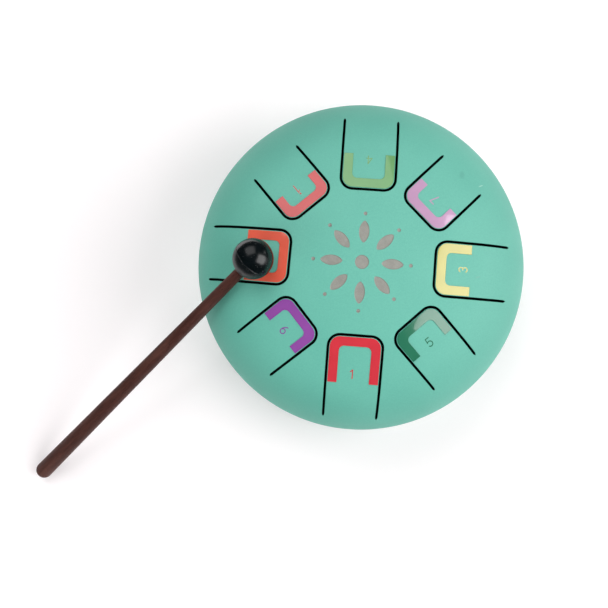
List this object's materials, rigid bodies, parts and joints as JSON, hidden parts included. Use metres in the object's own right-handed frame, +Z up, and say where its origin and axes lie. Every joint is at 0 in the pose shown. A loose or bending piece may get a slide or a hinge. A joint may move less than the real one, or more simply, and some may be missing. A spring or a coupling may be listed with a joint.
{
  "type": "steel tongue drum",
  "caption": "Small closed steel tongue drum with slotted tongues and a round sound hole below, on rubber feet, with a ball-headed mallet leaning on it.",
  "frame": {"origin": "middle of the drum and its leaning mallet, seen from above, on the table that the feet stand on; the drum's own axis is at x 41.15 mm, y 20.93 mm", "axes": "+Z up along the drum's axis, tongue 1 points towards -Y and tongue 3 towards +X, and the mallet leans down towards -X and -Y"},
  "size_m": [0.2372, 0.1968, 0.1],
  "materials": {
    "shell": "fine satin powder coat",
    "rubber_foot": "matte moulded rubber",
    "fastener": "zinc plated",
    "decal_1": "glossy printed vinyl",
    "decal_2": "glossy printed vinyl",
    "decal_3": "glossy printed vinyl",
    "decal_4": "glossy printed vinyl",
    "decal_5": "glossy printed vinyl",
    "decal_6": "glossy printed vinyl",
    "decal_7": "glossy printed vinyl",
    "decal_8": "glossy printed vinyl",
    "stick": "dark stained and varnished",
    "ball": "smooth glossy rubber"
  },
  "bodies": {
    "drum": {"top_shell": "shell", "bottom_shell": "shell", "decal_1": "decal_1", "decal_2": "decal_2", "decal_3": "decal_3", "decal_4": "decal_4", "decal_5": "decal_5", "decal_6": "decal_6", "decal_7": "decal_7", "decal_8": "decal_8", "foot_1": "rubber_foot", "foot_washer_1": "fastener", "foot_screw_1": "fastener", "foot_nut_1": "fastener", "foot_2": "rubber_foot", "foot_washer_2": "fastener", "foot_screw_2": "fastener", "foot_nut_2": "fastener", "foot_3": "rubber_foot", "foot_washer_3": "fastener", "foot_screw_3": "fastener", "foot_nut_3": "fastener"},
    "mallet": {"mallet_stick": "stick", "mallet_ball": "ball"}
  },
  "joints": [
    {"name": "mallet_lift", "type": "slide", "parent": "drum", "child": "mallet", "axis": [0, 0, 1], "range_m": [0, 0.12]}
  ]
}
